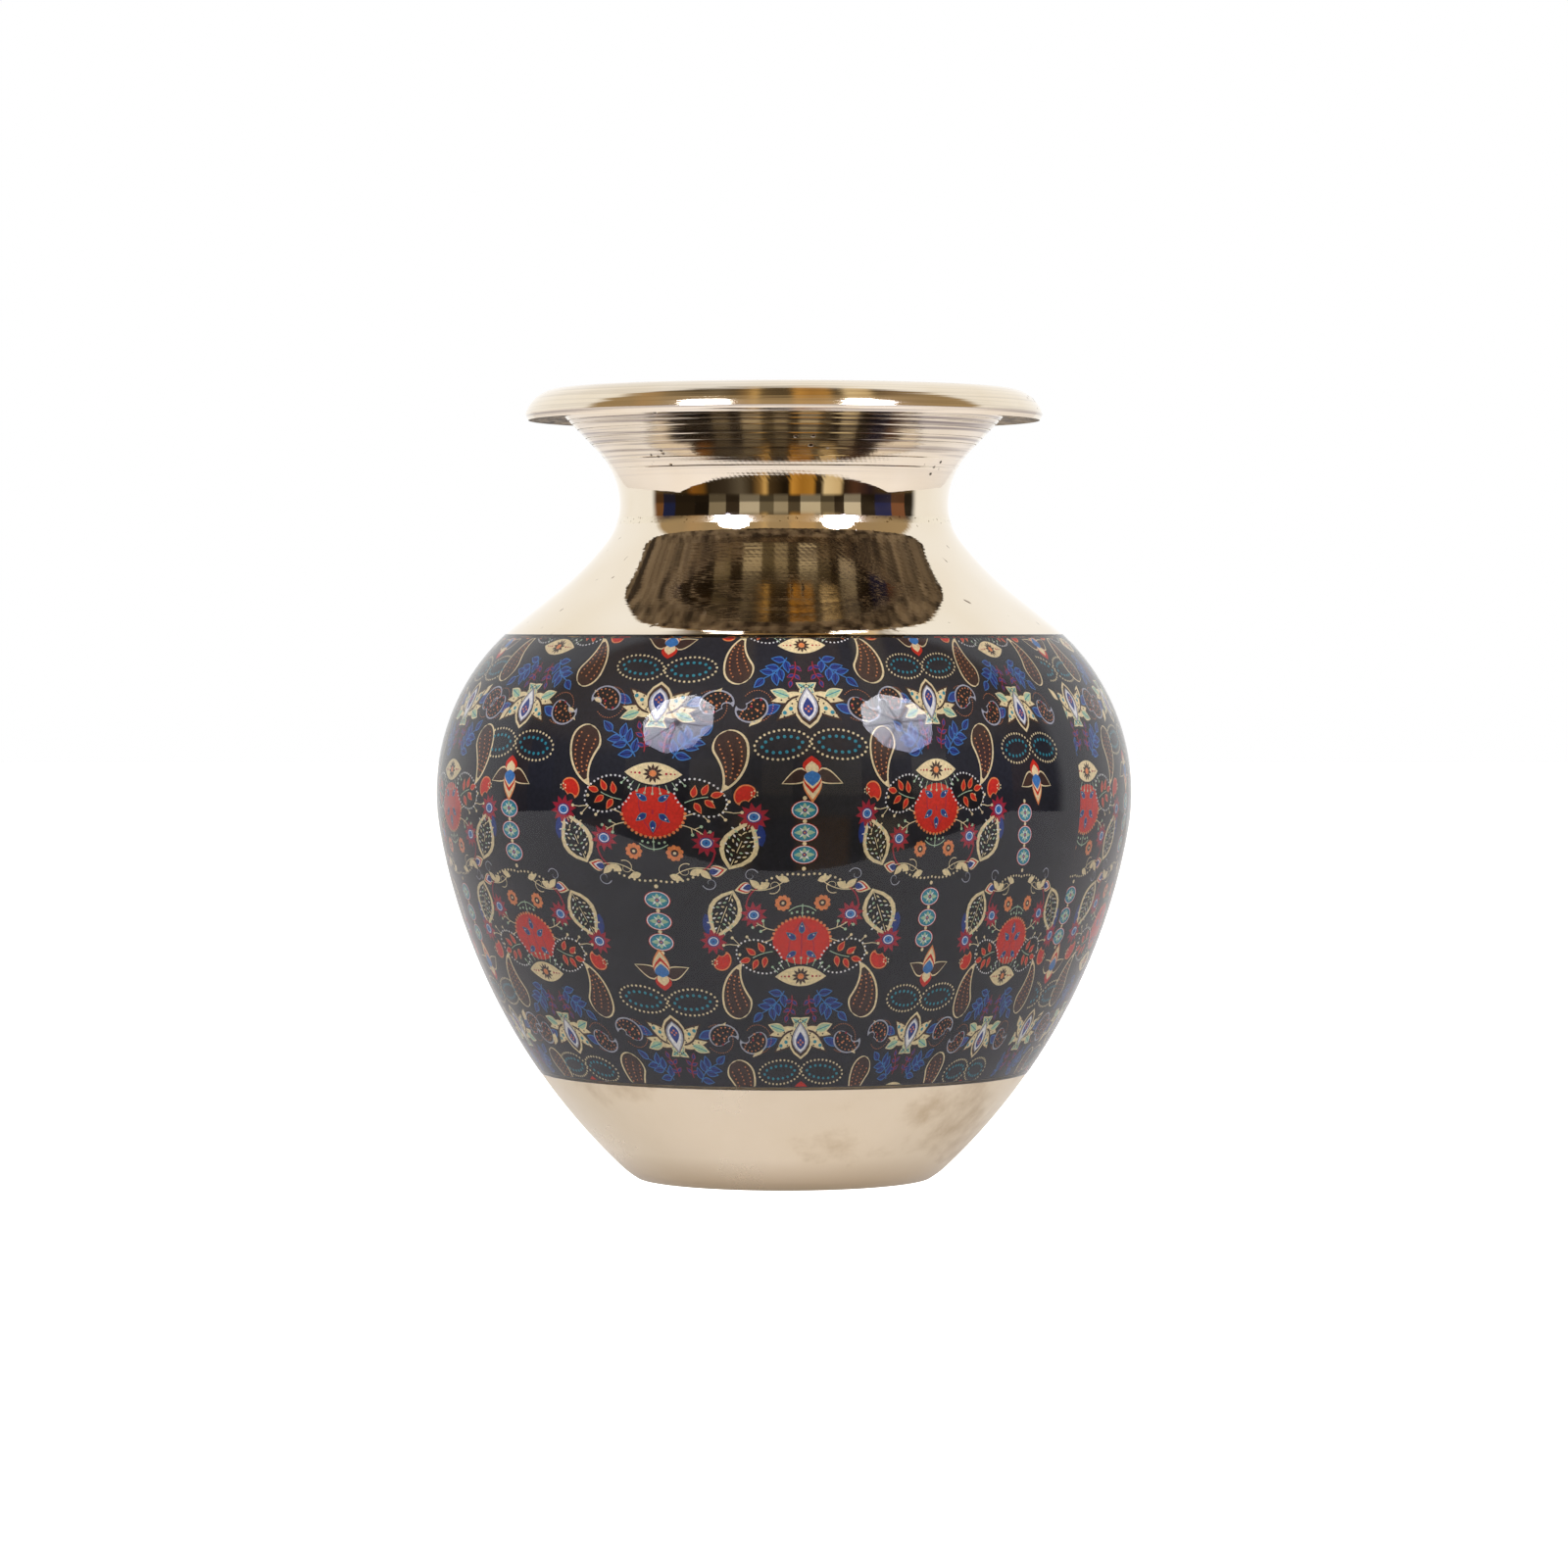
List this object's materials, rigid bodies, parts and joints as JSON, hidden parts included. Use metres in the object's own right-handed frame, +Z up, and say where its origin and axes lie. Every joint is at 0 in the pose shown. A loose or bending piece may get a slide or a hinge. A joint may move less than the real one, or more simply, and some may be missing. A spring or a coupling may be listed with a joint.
{
  "type": "brass kalash pot",
  "caption": "Round cast brass water pot with a flared, rolled mouth, narrow throat, full belly and a printed band under clear lacquer.",
  "frame": {"origin": "middle of the foot, on the surface that the pot stands on", "axes": "+Z up along the pot's axis, out of the mouth"},
  "size_m": [0.1234, 0.1234, 0.14],
  "materials": {
    "cast_brass": "turned and polished",
    "braze": "turned flush",
    "printed_film": "printed",
    "clear_lacquer": "clear gloss"
  },
  "bodies": {
    "root": {"base_bowl": "cast_brass", "shoulder_bowl": "cast_brass", "mouth_and_neck": "cast_brass", "neck_seam": "braze", "belly_seam": "braze", "printed_film": "printed_film", "clear_lacquer": "clear_lacquer"}
  },
  "joints": []
}
